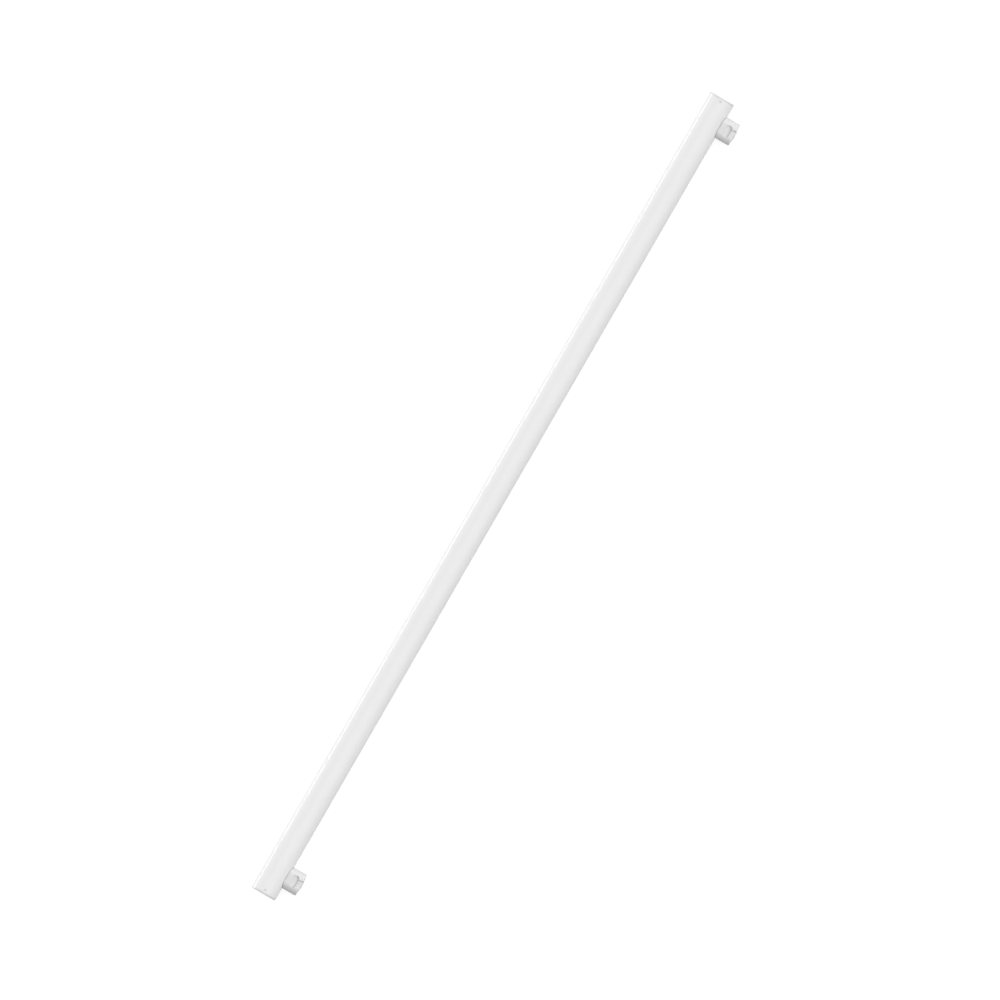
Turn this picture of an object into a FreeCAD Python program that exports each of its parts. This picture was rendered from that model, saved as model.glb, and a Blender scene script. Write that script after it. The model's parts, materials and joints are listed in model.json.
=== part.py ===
"""Two-base linear lamp: a sealed opal tube with an end cap in each end and two moulded S14s bases on its side.

Each piece is drawn in the lamp's own axes, in millimetres: X along the tube, the bases pointing to -Y, and the flat
sides of the bases facing +Z and -Z. Its Placement then lays it down as the lamp comes to rest on a table: on the
tube's lowest line and on an edge of each base's end. The origin is on the table, under the middle of the lamp.
"""

import FreeCAD, Part
import math
import os

import Sketcher

# The driving dimensions: name, value and what it measures.
SIZES = (
    ("lamp_length", 1000.0, "over the two end caps"),
    ("tube_diameter", 29.8, "outside of the opal tube"),
    ("tube_wall", 1.4, "wall of the tube round an end cap's spigot"),
    ("flange_thickness", 2.2, "the end cap's visible band"),
    ("flange_bevel", 0.8, "bevel on the end cap's outer edge"),
    ("spigot_length", 7.5, "how far an end cap reaches into the tube"),
    ("spigot_wall", 1.6, "wall of the end cap's hollow spigot"),
    ("spigot_clearance", 0.1, "radial gap between spigot and tube"),
    ("socket_end_gap", 0.5, "free depth past the spigot"),
    ("nub_diameter", 2.4, "snap nub that locks an end cap"),
    ("nub_inset", 4.8, "nub centre from the lamp's end"),
    ("nub_clearance", 0.1, "radial gap between nub and its hole"),
    ("nub_recess", 0.15, "how far a nub ends below the tube's surface"),
    ("base_inset", 28.75, "base centre from the lamp's end"),
    ("base_width", 26.0, "base along the tube"),
    ("base_thickness", 16.0, "base across the tube"),
    ("base_reach", 31.5, "base end face from the tube's axis"),
    ("base_bevel", 0.5, "bevel on the base's end rim"),
    ("seat_clearance", 0.4, "gap between the base's saddle and the tube"),
    ("neck_width", 18.0, "base neck along the tube"),
    ("neck_thickness", 8.0, "base neck across the tube"),
    ("neck_depth", 4.0, "how far the neck reaches into the tube"),
    ("neck_clearance", 0.1, "gap round the neck in the tube"),
    ("neck_end_gap", 0.3, "free depth past the neck"),
    ("plinth_width", 16.3, "raised middle of the base's end, along the tube"),
    ("plinth_thickness", 9.8, "raised middle, across the tube"),
    ("plinth_height", 0.4, "raised middle above the end face"),
    ("collar_height", 1.0, "collar round the contact, above the end face"),
    ("collar_wall", 1.0, "wall of the collar"),
    ("collar_bevel", 0.3, "bevel on the collar's outer edge"),
    ("recess_diameter", 7.2, "contact recess"),
    ("recess_depth", 10.2, "contact recess from the collar's end"),
    ("catch_length", 14.0, "spring pocket along the tube"),
    ("catch_height", 6.8, "spring pocket along the base"),
    ("catch_start", 0.7, "spring pocket's depth at its inner wall"),
    ("catch_depth", 2.4, "spring pocket's depth at its outer wall"),
    ("catch_setback", 8.7, "spring pocket centre from the base's end face"),
    ("lead_width", 7.5, "lead-in at the pocket"),
    ("lead_flare", 10.0, "lead-in at the rim"),
    ("lead_step", 0.4, "lead-in depth at the pocket"),
    ("lead_mouth", 2.1, "lead-in depth at the rim"),
    ("lead_slope", 0.6, "run of the lead-in's side walls over their depth"),
    ("head_clearance", 0.6, "gap round the contact's head in its recess"),
    ("contact_thickness", 1.2, "head of the contact"),
    ("contact_bevel", 0.4, "bevel on the head's edge"),
    ("shank_diameter", 3.0, "shank of the contact"),
    ("shank_inset", 3.5, "how far the shank ends inside the neck's end"),
    ("shank_clearance", 0.05, "radial gap round the shank"),
)

# How far a cutting tool runs past the face it starts from.
OVERRUN = 1.0
# Two lengths closer than this are the same when an edge is looked for.
NEAR = 1e-4

TUBE_RADIUS = "sizes.tube_diameter / 2"
SOCKET_RADIUS = "(sizes.tube_diameter / 2 - sizes.tube_wall)"
SPIGOT_RADIUS = f"({SOCKET_RADIUS} - sizes.spigot_clearance)"
HOLLOW_RADIUS = f"({SPIGOT_RADIUS} - sizes.spigot_wall)"
SADDLE_RADIUS = f"({TUBE_RADIUS} + sizes.seat_clearance)"
TUBE_END = "(sizes.lamp_length / 2 - sizes.flange_thickness)"
BASE_PLACE = "(sizes.lamp_length / 2 - sizes.base_inset)"
HALF_THICKNESS = "(sizes.base_thickness / 2)"
COLLAR_END = "(sizes.base_reach + sizes.collar_height)"
COLLAR_RADIUS = "(sizes.recess_diameter / 2 + sizes.collar_wall)"
RECESS_FLOOR = f"({COLLAR_END} - sizes.recess_depth)"
NECK_END = f"({TUBE_RADIUS} - sizes.neck_depth)"
SHANK_LENGTH = f"({RECESS_FLOOR} - {NECK_END} - sizes.shank_inset)"
CATCH_WALL = "(sizes.base_reach - sizes.catch_setback + sizes.catch_height / 2)"

# The lamp rolls until the edge between each base's lower flat side and its rim's bevel meets the table. The front is
# then the upper edge of a base's end face or of its collar, and the origin is midway to the tube's back.
RIM_REACH = "(sizes.base_reach - sizes.base_bevel)"
RIM_DISTANCE = f"sqrt({RIM_REACH} ^ 2 + {HALF_THICKNESS} ^ 2)"
ROLL = f"(asin({TUBE_RADIUS} / {RIM_DISTANCE}) - atan({HALF_THICKNESS} / {RIM_REACH}))"
RIM_FRONT = f"(sizes.base_reach * cos({ROLL}) + ({HALF_THICKNESS} - sizes.base_bevel) * sin({ROLL}))"
COLLAR_FRONT = f"({COLLAR_END} * cos({ROLL}) + ({COLLAR_RADIUS} - sizes.collar_bevel) * sin({ROLL}))"
AXIS_BACK = f"((max({RIM_FRONT}; {COLLAR_FRONT}) - {TUBE_RADIUS}) / 2)"

doc = FreeCAD.newDocument("linear_lamp")


def fill_sheet():
    """Writes the driving dimensions into the spreadsheet, one row each, with its name as the alias."""
    sheet = doc.addObject("Spreadsheet::Sheet", "sizes")
    for row, (name, value, meaning) in enumerate(SIZES, start=1):
        sheet.set(f"A{row}", name)
        sheet.set(f"B{row}", str(value))
        sheet.setAlias(f"B{row}", name)
        sheet.set(f"C{row}", meaning)
    doc.recompute()
    return sheet


def number(expression):
    """The present value of an expression in the sheet's names, as a plain number."""
    value = sheet.evalExpression(expression)
    return float(getattr(value, "Value", value))


def new_body(label, place, turn="0"):
    """A body laid down with the lamp: place is its distance along the tube, turn its angle about the lamp's Z."""
    body = doc.addObject("PartDesign::Body", label)
    body.Label = label
    lay_down = f"rotation(vector(1; 0; 0); {ROLL}) * rotation(vector(0; 0; 1); {turn})"
    body.setExpression("Placement", f"placement(vector({place}; {AXIS_BACK}; {TUBE_RADIUS}); {lay_down})")
    return body


def origin_part(body, role):
    """The body's own origin plane or axis with that role."""
    return next(part for part in body.Origin.OriginFeatures if part.Role == role)


def new_sketch(body, name, role, height="0"):
    """A sketch on an origin plane, raised along the plane's normal. The normal of XZ_Plane points to -Y."""
    sketch = body.newObject("Sketcher::SketchObject", name)
    sketch.AttachmentSupport = [(origin_part(body, role), "")]
    sketch.MapMode = "FlatFace"
    sketch.setExpression("AttachmentOffset.Base.z", height)
    return sketch


def bind(sketch, name, expression, kind, *points):
    """Adds one sizing constraint and ties its value to an expression."""
    index = sketch.addConstraint(Sketcher.Constraint(kind, *points, number(expression)))
    sketch.renameConstraint(index, name)
    sketch.setExpression(f"Constraints.{name}", expression)


def place_point(sketch, name, line, end, across, up):
    """Ties one point of a line or arc to its two distances from the sketch's origin."""
    for axis, kind, expression in ((-2, "DistanceX", across), (-1, "DistanceY", up)):
        if expression == "0":
            sketch.addConstraint(Sketcher.Constraint("PointOnObject", line, end, axis))
        else:
            bind(sketch, f"{name}_{'x' if axis == -2 else 'y'}", expression, kind, -1, 1, line, end)


def draw_polygon(sketch, corners):
    """A closed outline with straight sides. Each corner is a pair of expressions, across and up."""
    points = [FreeCAD.Vector(number(across), number(up), 0) for across, up in corners]
    for start, end in zip(points, points[1:] + points[:1]):
        sketch.addGeometry(Part.LineSegment(start, end), False)
    for line in range(len(corners)):
        sketch.addConstraint(Sketcher.Constraint("Coincident", line - 1 if line else len(corners) - 1, 2, line, 1))
    for line, (across, up) in enumerate(corners):
        place_point(sketch, f"corner{line}", line, 1, across, up)


def draw_slot(sketch, length, height, across="0", up="0"):
    """A closed slot with full round ends, length over the ends, centred at across and up."""
    radius = f"({height}) / 2"
    straight = f"(({length}) - ({height})) / 2"
    middle = FreeCAD.Vector(number(across), number(up), 0)
    half, rise = number(straight), number(radius)
    normal = FreeCAD.Vector(0, 0, 1)
    right = middle + FreeCAD.Vector(half, 0, 0)
    left = middle - FreeCAD.Vector(half, 0, 0)
    lift = FreeCAD.Vector(0, rise, 0)
    quarter = math.pi / 2
    sketch.addGeometry(Part.ArcOfCircle(Part.Circle(right, normal, rise), -quarter, quarter), False)
    sketch.addGeometry(Part.LineSegment(right + lift, left + lift), False)
    sketch.addGeometry(Part.ArcOfCircle(Part.Circle(left, normal, rise), quarter, 3 * quarter), False)
    sketch.addGeometry(Part.LineSegment(left - lift, right - lift), False)
    for first, second in ((0, 1), (1, 2), (2, 3), (3, 0)):
        sketch.addConstraint(Sketcher.Constraint("Tangent", first, 2, second, 1))
    sketch.addConstraint(Sketcher.Constraint("Horizontal", 1))
    bind(sketch, "round", radius, "Radius", 0)
    place_point(sketch, "right_centre", 0, 3, f"({across}) + {straight}", up)
    bind(sketch, "left_centre", f"({across}) - {straight}", "DistanceX", -1, 1, 2, 3)


def draw_circle(sketch, diameter, across="0", up="0"):
    """A circle centred at across and up."""
    middle = FreeCAD.Vector(number(across), number(up), 0)
    radius = f"({diameter}) / 2"
    sketch.addGeometry(Part.Circle(middle, FreeCAD.Vector(0, 0, 1), number(radius)), False)
    bind(sketch, "round", radius, "Radius", 0)
    place_point(sketch, "centre", 0, 3, across, up)


def add_feature(body, kind, name, sketch, **sizes):
    """A feature from a sketch, with each size in it tied to an expression."""
    feature = body.newObject(f"PartDesign::{kind}", name)
    feature.Profile = sketch
    for key, expression in sizes.items():
        feature.setExpression(key, expression)
    sketch.Visibility = False
    return feature


def add_turning(body, kind, name, sketch, role):
    """A full revolution or groove of a sketch about one of the body's axes."""
    feature = add_feature(body, kind, name, sketch)
    feature.ReferenceAxis = (origin_part(body, role), [""])
    feature.Angle = 360
    return feature


def add_loft(body, name, sections):
    """Cuts the straight-sided form between two sketches."""
    feature = body.newObject("PartDesign::SubtractiveLoft", name)
    feature.Profile = sections[0]
    feature.Sections = sections[1:]
    feature.Ruled = True
    return feature


def add_mirror(body, name, originals, role):
    """Repeats features on the other side of one of the body's planes."""
    feature = body.newObject("PartDesign::Mirrored", name)
    feature.Originals = originals
    feature.MirrorPlane = (origin_part(body, role), [""])
    body.Tip = feature
    return feature


def bevel_edges(body, name, base, expression, wanted):
    """Bevels the edges of the base feature for which wanted(edge) is true."""
    doc.recompute()
    names = [f"Edge{i}" for i, edge in enumerate(base.Shape.Edges, start=1) if wanted(edge)]
    if not names:
        raise RuntimeError(f"{name} found no edge")
    feature = body.newObject("PartDesign::Chamfer", name)
    feature.Base = (base, names)
    feature.setExpression("Size", expression)
    return feature


def lies_at(axis, place):
    """A test for edges that lie in one plane across an axis: 0 for X, 1 for Y, 2 for Z."""

    def test(edge):
        box = edge.BoundBox
        low = (box.XMin, box.YMin, box.ZMin)[axis]
        high = (box.XMax, box.YMax, box.ZMax)[axis]
        return abs(low - place) < NEAR and abs(high - place) < NEAR

    return test


def make_tube():
    """The sealed tube: solid but for the sockets in its ends, the snap nubs' holes and the necks' pockets."""
    body = new_body("tube", "0")
    profile = new_sketch(body, "tube_profile", "XY_Plane")
    end = TUBE_END
    socket_end = f"({TUBE_END} - sizes.spigot_length - sizes.socket_end_gap)"
    draw_polygon(
        profile,
        (
            (f"-{end}", SOCKET_RADIUS),
            (f"-{end}", TUBE_RADIUS),
            (end, TUBE_RADIUS),
            (end, SOCKET_RADIUS),
            (socket_end, SOCKET_RADIUS),
            (socket_end, "0"),
            (f"-{socket_end}", "0"),
            (f"-{socket_end}", SOCKET_RADIUS),
        ),
    )
    add_turning(body, "Revolution", "tube_turned", profile, "X_Axis")

    neck = new_sketch(body, "neck_outline", "XZ_Plane", f"{TUBE_RADIUS} + {OVERRUN}")
    gap = "2 * sizes.neck_clearance"
    draw_slot(neck, f"sizes.neck_width + {gap}", f"sizes.neck_thickness + {gap}", across=BASE_PLACE)
    depth = f"sizes.neck_depth + sizes.neck_end_gap + {OVERRUN}"
    neck_pocket = add_feature(body, "Pocket", "neck_pocket", neck, Length=depth)

    nub = new_sketch(body, "nub_outline", "XY_Plane")
    nub_place = "sizes.lamp_length / 2 - sizes.nub_inset"
    draw_circle(nub, "sizes.nub_diameter + 2 * sizes.nub_clearance", across=nub_place)
    nub_holes = add_feature(body, "Pocket", "nub_holes", nub, Length=f"sizes.tube_diameter + {OVERRUN}")
    nub_holes.SideType = "Symmetric"

    add_mirror(body, "other_end", [neck_pocket, nub_holes], "YZ_Plane")
    return body


def make_end_cap(label, place, turn):
    """A plug cap: a flange as wide as the tube on a hollow spigot, held by a snap nub on each side."""
    body = new_body(label, place, turn)
    profile = new_sketch(body, "cap_profile", "XY_Plane")
    spigot_end = "-sizes.spigot_length"
    draw_polygon(
        profile,
        (
            (spigot_end, HOLLOW_RADIUS),
            (spigot_end, SPIGOT_RADIUS),
            ("0", SPIGOT_RADIUS),
            ("0", TUBE_RADIUS),
            ("sizes.flange_thickness", TUBE_RADIUS),
            ("sizes.flange_thickness", "0"),
            ("0", "0"),
            ("0", HOLLOW_RADIUS),
        ),
    )
    turned = add_turning(body, "Revolution", "cap_turned", profile, "X_Axis")

    outer_edge = lies_at(0, number("sizes.flange_thickness"))
    bevel_edges(body, "flange_edge", turned, "sizes.flange_bevel", outer_edge)

    nub = new_sketch(body, "nub_outline", "XY_Plane")
    draw_circle(nub, "sizes.nub_diameter", across="sizes.flange_thickness - sizes.nub_inset")
    pin = add_feature(body, "Pad", "nub_pin", nub, Length="sizes.tube_diameter - 2 * sizes.nub_recess")
    pin.SideType = "Symmetric"

    hollow = new_sketch(body, "hollow_profile", "XY_Plane")
    mouth = f"{spigot_end} - {OVERRUN}"
    draw_polygon(hollow, ((mouth, "0"), (mouth, HOLLOW_RADIUS), ("0", HOLLOW_RADIUS), ("0", "0")))
    add_turning(body, "Groove", "hollow", hollow, "X_Axis")
    return body


def make_base(label, place):
    """The moulded base: an oblong block with a saddle on the tube, a neck into it, a collar round the contact's
    recess and, in each flat side, a pocket for the holder's spring with a flared lead-in from the rim."""
    body = new_body(label, place)
    outline = new_sketch(body, "block_outline", "XZ_Plane")
    draw_slot(outline, "sizes.base_width", "sizes.base_thickness")
    add_feature(body, "Pad", "block", outline, Length="sizes.base_reach")

    saddle_profile = new_sketch(body, "saddle_profile", "XY_Plane")
    side = f"sizes.base_width / 2 + {OVERRUN}"
    depth = f"-{SADDLE_RADIUS}"
    draw_polygon(saddle_profile, ((f"-({side})", "0"), (side, "0"), (side, depth), (f"-({side})", depth)))
    saddle = add_turning(body, "Groove", "saddle", saddle_profile, "X_Axis")

    bevel_edges(body, "rim_edge", saddle, "sizes.base_bevel", lies_at(1, -number("sizes.base_reach")))

    neck = new_sketch(body, "neck_outline", "XZ_Plane", NECK_END)
    draw_slot(neck, "sizes.neck_width", "sizes.neck_thickness")
    add_feature(body, "Pad", "neck", neck, Length=f"sizes.neck_depth + {OVERRUN}")

    plinth = new_sketch(body, "plinth_outline", "XZ_Plane", "sizes.base_reach")
    draw_slot(plinth, "sizes.plinth_width", "sizes.plinth_thickness")
    add_feature(body, "Pad", "plinth", plinth, Length="sizes.plinth_height")

    collar = new_sketch(body, "collar_outline", "XZ_Plane", "sizes.base_reach")
    draw_circle(collar, f"2 * {COLLAR_RADIUS}")
    raised = add_feature(body, "Pad", "collar", collar, Length="sizes.collar_height")
    bevel_edges(body, "collar_edge", raised, "sizes.collar_bevel", lies_at(1, -number(COLLAR_END)))

    recess = new_sketch(body, "recess_outline", "XZ_Plane", COLLAR_END)
    draw_circle(recess, "sizes.recess_diameter")
    add_feature(body, "Pocket", "recess", recess, Length="sizes.recess_depth")

    bore = new_sketch(body, "shank_outline", "XZ_Plane", RECESS_FLOOR)
    draw_circle(bore, "sizes.shank_diameter + 2 * sizes.shank_clearance")
    add_feature(body, "Pocket", "shank_bore", bore, Length=f"{RECESS_FLOOR} - {NECK_END} + {OVERRUN}")

    ramp = body.newObject("PartDesign::Plane", "catch_ramp")
    ramp.AttachmentSupport = [(origin_part(body, "XY_Plane"), "")]
    ramp.MapMode = "FlatFace"
    lowest = f"vector(0; -{CATCH_WALL}; {HALF_THICKNESS} - sizes.catch_depth)"
    drop = "(sizes.catch_depth - sizes.catch_start)"
    slope = f"rotation(vector(1; 0; 0); atan({drop} / sizes.catch_height))"
    ramp.setExpression("AttachmentOffset", f"placement({lowest}; {slope})")
    mouth = new_sketch(body, "catch_outline", "XY_Plane", f"{HALF_THICKNESS} + {OVERRUN}")
    catch_middle = f"-({CATCH_WALL} - sizes.catch_height / 2)"
    draw_slot(mouth, "sizes.catch_length", "sizes.catch_height", up=catch_middle)
    catch = add_feature(body, "Pocket", "catch", mouth)
    catch.Type = "UpToFace"
    catch.UpToFace = (ramp, [""])

    sections = []
    for name, reach, width, drop in (
        ("lead_in_start", CATCH_WALL, "sizes.lead_width", "sizes.lead_step"),
        ("lead_in_mouth", "sizes.base_reach", "sizes.lead_flare", "sizes.lead_mouth"),
    ):
        section = new_sketch(body, name, "XZ_Plane", reach)
        top, bottom = f"{width} / 2", f"({width} / 2 - {drop} * sizes.lead_slope)"
        clear, face, deep = f"({HALF_THICKNESS} + {OVERRUN})", HALF_THICKNESS, f"({HALF_THICKNESS} - {drop})"
        right = ((top, clear), (top, face), (bottom, deep))
        left = [(f"-{across}", up) for across, up in reversed(right)]
        draw_polygon(section, (*right, *left))
        sections.append(section)
    lead_in = add_loft(body, "lead_in", sections)

    add_mirror(body, "other_side", [catch, lead_in], "XY_Plane")
    return body


def make_contact(label, place):
    """The single contact of a base: a round head on the recess's floor, with a shank through the base."""
    body = new_body(label, place)
    head_outline = new_sketch(body, "head_outline", "XZ_Plane", RECESS_FLOOR)
    draw_circle(head_outline, "sizes.recess_diameter - 2 * sizes.head_clearance")
    head = add_feature(body, "Pad", "head", head_outline, Length="sizes.contact_thickness")

    front = lies_at(1, -number(f"{RECESS_FLOOR} + sizes.contact_thickness"))
    bevel_edges(body, "head_edge", head, "sizes.contact_bevel", front)

    shank_outline = new_sketch(body, "shank_outline", "XZ_Plane", RECESS_FLOOR)
    draw_circle(shank_outline, "sizes.shank_diameter")
    shank = add_feature(body, "Pad", "shank", shank_outline, Length=SHANK_LENGTH)
    shank.Reversed = True
    return body


def check_and_write(bodies):
    """Stops on a failed object or an unsound shape, then writes each body to parts/ under its label."""
    doc.recompute()
    for item in doc.Objects:
        if "Invalid" in item.State or "Error" in item.State:
            raise RuntimeError(f"{item.Label} failed: {item.State}")
    for body in bodies:
        shape = body.Shape
        if shape.isNull() or not shape.isValid() or len(shape.Solids) != 1:
            raise RuntimeError(f"{body.Label} is not one sound solid")
    os.makedirs("parts", exist_ok=True)
    for body in bodies:
        body.Shape.exportStep(f"parts/{body.Label}.step")
        box = body.Shape.BoundBox
        spans = ", ".join(f"{length:.2f}" for length in (box.XLength, box.YLength, box.ZLength))
        print(f"{body.Label}: {body.Shape.Volume:.1f} mm3, {spans} mm, lowest {box.ZMin:.3f}")


sheet = fill_sheet()
bodies = [make_tube()]
for side, sign, turn in (("left", "-", "180"), ("right", "", "0")):
    bodies.append(make_end_cap(f"end_cap_{side}", f"{sign}{TUBE_END}", turn))
    bodies.append(make_base(f"base_{side}", f"{sign}{BASE_PLACE}"))
    bodies.append(make_contact(f"contact_{side}", f"{sign}{BASE_PLACE}"))
check_and_write(bodies)
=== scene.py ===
"""A two-base linear lamp on a pale table, seen square on its flat sides, as in the photograph.

Lengths are in metres. The lamp's axes come from the frame: X along the tube, OUT along the bases, and FACE
square to both, out of the bases' flat sides.
"""

import json
import math

import bpy
from mathutils import Matrix, Vector


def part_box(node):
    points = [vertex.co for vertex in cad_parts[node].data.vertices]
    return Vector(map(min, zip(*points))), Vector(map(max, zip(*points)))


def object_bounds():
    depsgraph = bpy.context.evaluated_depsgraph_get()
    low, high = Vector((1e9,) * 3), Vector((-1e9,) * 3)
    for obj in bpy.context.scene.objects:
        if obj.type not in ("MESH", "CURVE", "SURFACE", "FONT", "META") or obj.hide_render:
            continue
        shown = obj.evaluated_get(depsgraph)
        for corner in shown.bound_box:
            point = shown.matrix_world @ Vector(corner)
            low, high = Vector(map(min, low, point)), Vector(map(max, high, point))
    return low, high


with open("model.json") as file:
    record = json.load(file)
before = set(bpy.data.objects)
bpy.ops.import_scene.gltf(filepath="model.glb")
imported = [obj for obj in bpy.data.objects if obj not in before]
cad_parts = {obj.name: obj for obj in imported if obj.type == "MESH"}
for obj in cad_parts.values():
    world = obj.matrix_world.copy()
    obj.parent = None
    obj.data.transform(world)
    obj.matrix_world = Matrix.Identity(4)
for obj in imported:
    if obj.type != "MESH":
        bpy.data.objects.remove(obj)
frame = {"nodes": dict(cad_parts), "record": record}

MM = 0.001
CAD_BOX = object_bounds()
NODES = frame["nodes"]
SIDES = ("left", "right")

# The photograph: the picture's side and the lamp's length in pixels, how far the picture's middle is from the
# tube's middle, along the tube and along the bases, also in pixels, and the angle at which the tube rises.
PICTURE_SIDE = 1000
LAMP_PIXELS = 918.9
AIM_ALONG = 0.13
AIM_OUT = 8.25
TUBE_ANGLE = math.radians(60)
CAMERA_DISTANCE = 3.0

# The table: half its side, how far it lies under the lamp, its own grey, and the light added where the camera
# or a reflection sees it.
TABLE_HALF = 6.0
TABLE_SINK = 0.02 * MM
TABLE_GREY = 0.22
TABLE_GLOW = 0.88
TABLE_ROUGHNESS = 0.9

# The sky's fill, and by how much of itself it is stronger towards the lamp's right end and weaker towards the
# left.
FILL = 0.655
FILL_LEAN = 0.542
# The main light, a soft round glow: its strength, its lean towards the right end and towards the bases, and how
# closely it is gathered.
KEY = 2.101
KEY_ALONG = math.radians(51.1)
KEY_OUT = math.radians(51.1)
KEY_POWER = 8.97
# The long soft box: its strength, its first and last angle round the tube, the width of those edges, how much of
# a direction may lie along the tube before the box ends, and the width of that end.
SOFT_BOX = 0.349
SOFT_BOX_FIRST = math.radians(-100.0)
SOFT_BOX_LAST = math.radians(58.8)
SOFT_BOX_EDGE = math.radians(11.1)
SOFT_BOX_HALF = 0.6
SOFT_BOX_END = 0.2
# The strip light behind the tube: its radiance, its distance from the tube's middle, the height of its top, the
# gap under it, and its length.
STRIP = 6.6
STRIP_AWAY = 161.0 * MM
STRIP_TOP = 20.7 * MM
STRIP_GAP = 2 * MM
STRIP_LENGTH = 1.4

# The finishes. Greys and roughnesses wander between two values, lines and grain are as deep as stated, and sharp
# edges are rounded by a radius.
PLASTIC_IOR = 1.5
PLASTIC_EDGE = 0.3 * MM
METAL_EDGE = 0.1 * MM
BEVEL_SAMPLES = 6
OPAL_GREY = (0.801, 0.811)
OPAL_ROUGHNESS = (0.182, 0.198)
OPAL_LINES = 0.0004 * MM
MOULDING_GREY = (0.694, 0.714)
BASE_ROUGHNESS = (0.38, 0.5)
BASE_GRAIN = 0.012 * MM
CAP_ROUGHNESS = (0.19, 0.25)
CAP_GRAIN = 0.004 * MM
BRASS_TONES = {0.35: (0.48, 0.36, 0.16, 1), 0.65: (0.68, 0.53, 0.27, 1)}
BRASS_ROUGHNESS = (0.25, 0.4)
BRASS_MARKS = 0.01 * MM
# Where nearly all of a noise node's values lie.
NOISE_RANGE = (0.3, 0.7)
WHITE = (1, 1, 1, 1)

MOUNTS = {mount["name"]: mount for mount in frame["record"]["mounts"]}
ALONG = Vector((1, 0, 0))
OUT = Vector(MOUNTS["base_right_s14s"]["axis"]).normalized()
FACE = OUT.cross(ALONG)
TUBE_LOW, TUBE_HIGH = (Vector(corner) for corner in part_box("tube"))
TUBE_MIDDLE = (TUBE_LOW + TUBE_HIGH) / 2
LAMP_LENGTH = CAD_BOX[1][0] - CAD_BOX[0][0]
PIXEL = LAMP_LENGTH / LAMP_PIXELS


def new_material(name):
    """A node material, with its tree and its Principled shader."""
    material = bpy.data.materials.new(name)
    material.use_nodes = True
    tree = material.node_tree
    return material, tree, tree.nodes["Principled BSDF"]


def add_node(tree, kind, **values):
    """A node with its sockets or properties set by name."""
    node = tree.nodes.new(kind)
    for key, value in values.items():
        if key in node.inputs:
            node.inputs[key].default_value = value
        else:
            setattr(node, key, value)
    return node


def add_object(name, data):
    """An object in the scene's own collection."""
    thing = bpy.data.objects.new(name, data)
    bpy.context.scene.collection.objects.link(thing)
    return thing


def math_node(tree, operation, *values):
    """A maths node whose inputs are sockets or numbers."""
    node = add_node(tree, "ShaderNodeMath", operation=operation)
    for socket, value in zip(node.inputs, values):
        if isinstance(value, (int, float)):
            socket.default_value = value
        else:
            tree.links.new(value, socket)
    return node.outputs[0]


def object_point(tree, scale=(1, 1, 1)):
    """The place on the object in metres, each axis multiplied by scale."""
    place = tree.nodes.new("ShaderNodeTexCoord")
    mapping = tree.nodes.new("ShaderNodeMapping")
    mapping.inputs["Scale"].default_value = scale
    tree.links.new(place.outputs["Object"], mapping.inputs["Vector"])
    return mapping.outputs["Vector"]


def noise(tree, point, size, detail=2.0, roughness=0.5):
    """Noise whose lumps are about size across."""
    node = add_node(tree, "ShaderNodeTexNoise", Scale=1 / size, Detail=detail, Roughness=roughness)
    tree.links.new(point, node.inputs["Vector"])
    return node.outputs["Fac"]


def spread(tree, value, ends):
    """Maps noise from its usual range to the two ends."""
    node = add_node(tree, "ShaderNodeMapRange")
    for socket, limit in zip(("From Min", "From Max", "To Min", "To Max"), (*NOISE_RANGE, *ends)):
        node.inputs[socket].default_value = limit
    tree.links.new(value, node.inputs["Value"])
    return node.outputs["Result"]


def grey_variation(tree, value, ends):
    """A grey that wanders between two tones."""
    mixed = spread(tree, value, ends)
    node = tree.nodes.new("ShaderNodeCombineColor")
    for channel in ("Red", "Green", "Blue"):
        tree.links.new(mixed, node.inputs[channel])
    return node.outputs["Color"]


def relief(tree, height, depth, edge):
    """A normal with sharp edges rounded by a radius, and over that a bump of that depth."""
    rounded = add_node(tree, "ShaderNodeBevel", samples=BEVEL_SAMPLES, Radius=edge)
    node = add_node(tree, "ShaderNodeBump", Strength=1.0, Distance=depth)
    tree.links.new(height, node.inputs["Height"])
    tree.links.new(rounded.outputs["Normal"], node.inputs["Normal"])
    return node.outputs["Normal"]


def make_opal():
    """Opal tube: smooth and satin, with faint draw lines along it and a slight cloudiness."""
    material, tree, shader = new_material("opal")
    cloud = noise(tree, object_point(tree, (0.35, 1, 1)), 14 * MM, detail=3)
    draw_lines = noise(tree, object_point(tree, (0.01, 1, 1)), 0.7 * MM, detail=2)
    handled = noise(tree, object_point(tree, (0.3, 1, 1)), 6 * MM, detail=4, roughness=0.6)
    tree.links.new(grey_variation(tree, cloud, OPAL_GREY), shader.inputs["Base Color"])
    tree.links.new(relief(tree, draw_lines, OPAL_LINES, PLASTIC_EDGE), shader.inputs["Normal"])
    tree.links.new(spread(tree, handled, OPAL_ROUGHNESS), shader.inputs["Roughness"])
    shader.inputs["IOR"].default_value = PLASTIC_IOR
    return material


def make_moulding(name, grain_depth, roughness):
    """Moulded white plastic with a fine eroded grain and softened edges."""
    material, tree, shader = new_material(name)
    flow = noise(tree, object_point(tree), 5 * MM, detail=3)
    grain = noise(tree, object_point(tree), 0.25 * MM, detail=2)
    tree.links.new(grey_variation(tree, flow, MOULDING_GREY), shader.inputs["Base Color"])
    tree.links.new(relief(tree, grain, grain_depth, PLASTIC_EDGE), shader.inputs["Normal"])
    tree.links.new(spread(tree, grain, roughness), shader.inputs["Roughness"])
    shader.inputs["IOR"].default_value = PLASTIC_IOR
    return material


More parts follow.
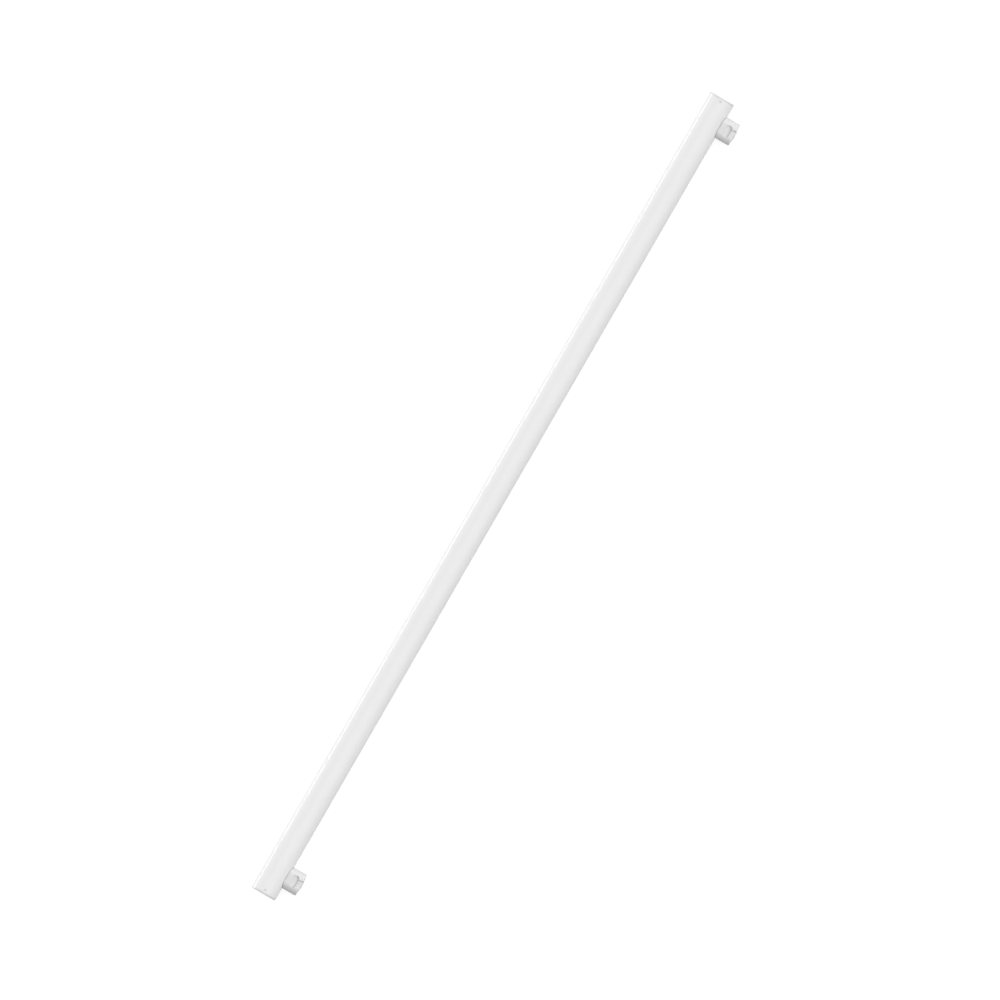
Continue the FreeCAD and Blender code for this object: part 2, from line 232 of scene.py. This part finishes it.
def make_brass():
    """Slightly dull brass for the contacts, with turning marks."""
    material, tree, shader = new_material("contact_metal")
    marks = noise(tree, object_point(tree), 0.3 * MM, detail=4)
    dull = tree.nodes.new("ShaderNodeValToRGB")
    for element, (position, color) in zip(dull.color_ramp.elements, BRASS_TONES.items()):
        element.position = position
        element.color = color
    tree.links.new(marks, dull.inputs["Fac"])
    tree.links.new(dull.outputs["Color"], shader.inputs["Base Color"])
    tree.links.new(relief(tree, marks, BRASS_MARKS, METAL_EDGE), shader.inputs["Normal"])
    tree.links.new(spread(tree, marks, BRASS_ROUGHNESS), shader.inputs["Roughness"])
    shader.inputs["Metallic"].default_value = 1.0
    return material


def seen_directly(tree):
    """One for rays from the camera, reflections and clear materials, and nothing for the rest."""
    path = tree.nodes.new("ShaderNodeLightPath")
    total = path.outputs["Is Camera Ray"]
    for kind in ("Is Glossy Ray", "Is Transmission Ray"):
        total = math_node(tree, "MAXIMUM", total, path.outputs[kind])
    return total


def make_table():
    """Pale matt table. The camera and reflections see it nearly white, and it keeps the lamp's shadow."""
    material, tree, shader = new_material("table")
    shader.inputs["Base Color"].default_value = (TABLE_GREY, TABLE_GREY, TABLE_GREY, 1)
    shader.inputs["Roughness"].default_value = TABLE_ROUGHNESS
    shader.inputs["Specular IOR Level"].default_value = 0.0
    shader.inputs["Emission Color"].default_value = WHITE
    glow = math_node(tree, "MULTIPLY", seen_directly(tree), TABLE_GLOW)
    tree.links.new(glow, shader.inputs["Emission Strength"])
    return material


def part_along(tree, direction, axis):
    """How much of a direction lies along an axis."""
    node = add_node(tree, "ShaderNodeVectorMath", operation="DOT_PRODUCT")
    tree.links.new(direction, node.inputs[0])
    node.inputs[1].default_value = axis
    return node.outputs["Value"]


def step(tree, value, place, width):
    """Nothing below a place and one above it, with a soft edge that wide centred on it."""
    node = add_node(tree, "ShaderNodeMapRange", interpolation_type="SMOOTHSTEP")
    node.inputs["From Min"].default_value = place - width / 2
    node.inputs["From Max"].default_value = place + width / 2
    tree.links.new(value, node.inputs["Value"])
    return node.outputs["Result"]


def make_sky():
    """The studio's light as a sky, so that it is even along the lamp: a fill, a key and a long soft box.

    The angle is measured round the tube, from the camera towards the side that the bases point to.
    """
    world = bpy.data.worlds.new("sky")
    bpy.context.scene.world = world
    world.use_nodes = True
    tree = world.node_tree
    direction = tree.nodes.new("ShaderNodeTexCoord").outputs["Generated"]
    along = part_along(tree, direction, ALONG)
    angle = math_node(
        tree, "ARCTAN2", part_along(tree, direction, OUT), part_along(tree, direction, FACE)
    )
    level = math_node(tree, "MULTIPLY_ADD", along, FILL * FILL_LEAN, FILL)

    towards_key = (
        math.sin(KEY_ALONG) * ALONG
        + math.cos(KEY_ALONG) * (math.sin(KEY_OUT) * OUT + math.cos(KEY_OUT) * FACE)
    )
    near_key = math_node(tree, "MAXIMUM", part_along(tree, direction, towards_key), 0.0)
    glow = math_node(tree, "POWER", near_key, KEY_POWER)
    level = math_node(tree, "MULTIPLY_ADD", glow, KEY, level)

    end_distance = math_node(tree, "ABSOLUTE", along)
    past_end = step(tree, end_distance, SOFT_BOX_HALF, SOFT_BOX_END)
    begun = step(tree, angle, SOFT_BOX_FIRST, SOFT_BOX_EDGE)
    ended = step(tree, angle, SOFT_BOX_LAST, SOFT_BOX_EDGE)
    shape = math_node(
        tree,
        "MULTIPLY",
        math_node(tree, "SUBTRACT", 1.0, past_end),
        math_node(tree, "SUBTRACT", begun, ended),
    )
    level = math_node(tree, "MULTIPLY_ADD", shape, SOFT_BOX, level)

    # The camera sees plain white past the table.
    shown = tree.nodes.new("ShaderNodeMix")
    camera_ray = tree.nodes.new("ShaderNodeLightPath").outputs["Is Camera Ray"]
    tree.links.new(camera_ray, shown.inputs["Factor"])
    tree.links.new(level, shown.inputs["A"])
    shown.inputs["B"].default_value = 1.0
    background = tree.nodes["Background"]
    background.inputs["Color"].default_value = WHITE
    tree.links.new(shown.outputs["Result"], background.inputs["Strength"])


def make_strip():
    """A long low strip light behind the tube and facing it, for the bright line along the tube's back."""
    data = bpy.data.lights.new("strip", "AREA")
    data.shape = "RECTANGLE"
    height = STRIP_TOP - STRIP_GAP
    data.size, data.size_y = STRIP_LENGTH, height
    # An area light's power is pi times its radiance times its area.
    data.energy = STRIP * math.pi * STRIP_LENGTH * height
    strip = add_object("strip", data)
    strip.location = (TUBE_MIDDLE.x, TUBE_MIDDLE.y + STRIP_AWAY, STRIP_GAP + height / 2)
    strip.rotation_euler = (math.radians(-90), 0, 0)
    strip.visible_camera = False


def make_stage():
    """The table under the lamp."""
    corners = [(x * TABLE_HALF, y * TABLE_HALF, 0) for x, y in ((-1, -1), (1, -1), (1, 1), (-1, 1))]
    mesh = bpy.data.meshes.new("table")
    mesh.from_pydata(corners, [], [(0, 1, 2, 3)])
    mesh.materials.append(make_table())
    table = add_object("table", mesh)
    table.location.z = -TABLE_SINK


def make_camera():
    """A camera without perspective, square on the bases' flat sides."""
    data = bpy.data.cameras.new("camera")
    data.type = "ORTHO"
    data.ortho_scale = PICTURE_SIDE * PIXEL
    camera = add_object("camera", data)
    right = math.cos(TUBE_ANGLE) * ALONG + math.sin(TUBE_ANGLE) * OUT
    up = FACE.cross(right)
    aim = TUBE_MIDDLE + PIXEL * (AIM_ALONG * ALONG + AIM_OUT * OUT)
    place = Matrix((right, up, FACE)).transposed().to_4x4()
    place.translation = aim + FACE * CAMERA_DISTANCE
    camera.matrix_world = place
    bpy.context.scene.camera = camera


def dress():
    """Gives every CAD node its finish."""
    finishes = {"tube": make_opal()}
    base_moulding = make_moulding("base_moulding", BASE_GRAIN, BASE_ROUGHNESS)
    cap_moulding = make_moulding("cap_moulding", CAP_GRAIN, CAP_ROUGHNESS)
    brass = make_brass()
    for side in SIDES:
        finishes[f"end_cap_{side}"] = cap_moulding
        finishes[f"base_{side}"] = base_moulding
        finishes[f"contact_{side}"] = brass
    for name, material in finishes.items():
        for slot in NODES[name].material_slots:
            slot.material = material


dress()
make_stage()
make_sky()
make_strip()
make_camera()
bpy.context.scene.view_settings.view_transform = "Standard"
